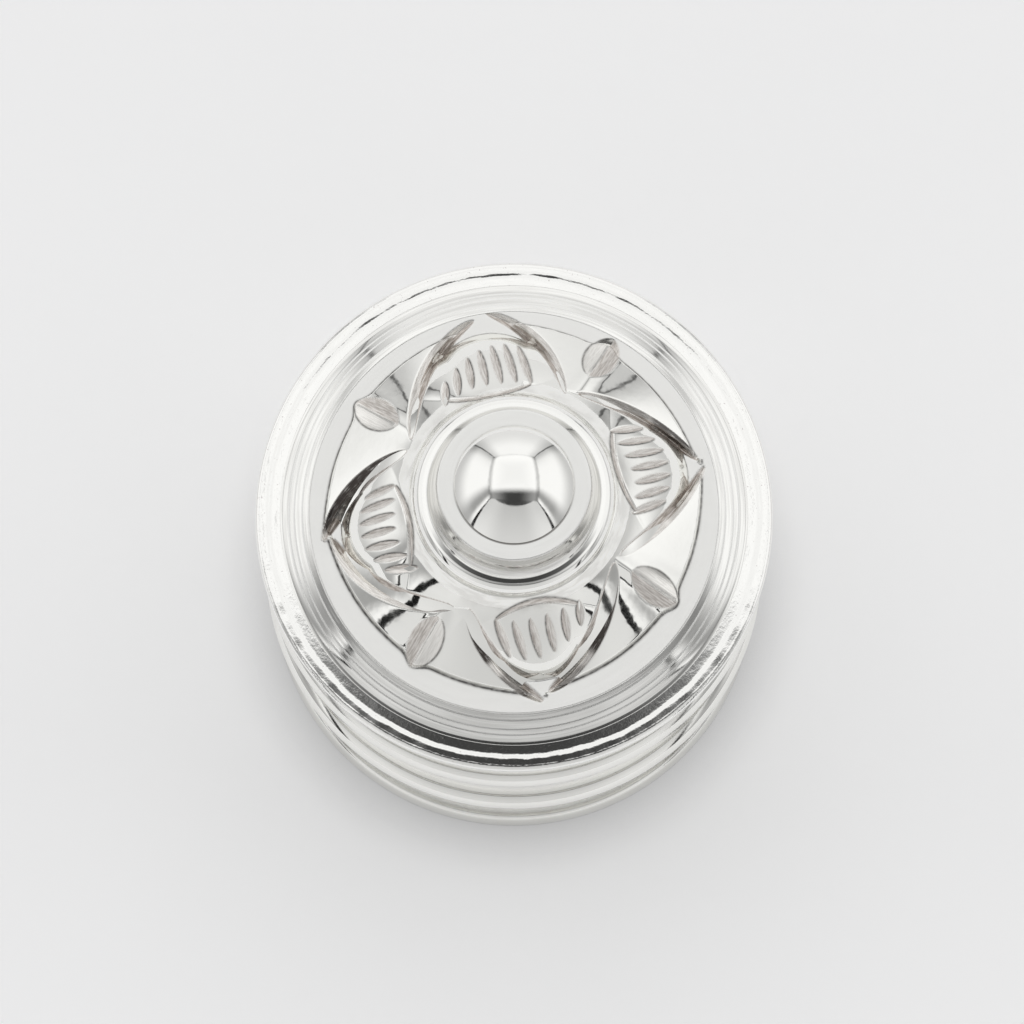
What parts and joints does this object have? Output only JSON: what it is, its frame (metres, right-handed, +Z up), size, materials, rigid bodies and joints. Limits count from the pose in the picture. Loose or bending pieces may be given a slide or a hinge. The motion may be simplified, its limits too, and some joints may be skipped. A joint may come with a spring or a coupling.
{
  "type": "kumkum box",
  "caption": "Small round silver kumkum box: banded cylinder body with a lift-off lid that slips into the mouth, its low dome chased with petals under a stepped plinth and domed knob.",
  "frame": {"origin": "centre of the box's foot, on the surface that it stands on", "axes": "+Z up along the box's axis, the way the lid lifts; -Y towards the viewer of the picture"},
  "size_m": [0.04, 0.04, 0.0455],
  "materials": {
    "spun_silver": "spun and polished silver with fine turning marks",
    "chased_silver": "polished silver with bright-cut chasing, darker in the cuts",
    "polished_silver": "mirror-polished silver",
    "plain_silver": "plain silver, softly polished"
  },
  "bodies": {
    "box": {"body_wall": "spun_silver", "base_plate": "plain_silver", "foot_ring": "spun_silver", "lower_band": "spun_silver", "upper_band": "spun_silver", "mouth_ring": "spun_silver"},
    "lid": {"lid_sleeve": "plain_silver", "lid_shell": "chased_silver", "rim_ring": "polished_silver", "knob_plinth": "polished_silver", "knob": "polished_silver", "knob_peg": "plain_silver", "peg_washer": "plain_silver"}
  },
  "joints": [
    {"name": "lid_lift", "type": "slide", "parent": "box", "child": "lid", "axis": [0, 0, 1], "range_m": [0, 0.03]}
  ]
}
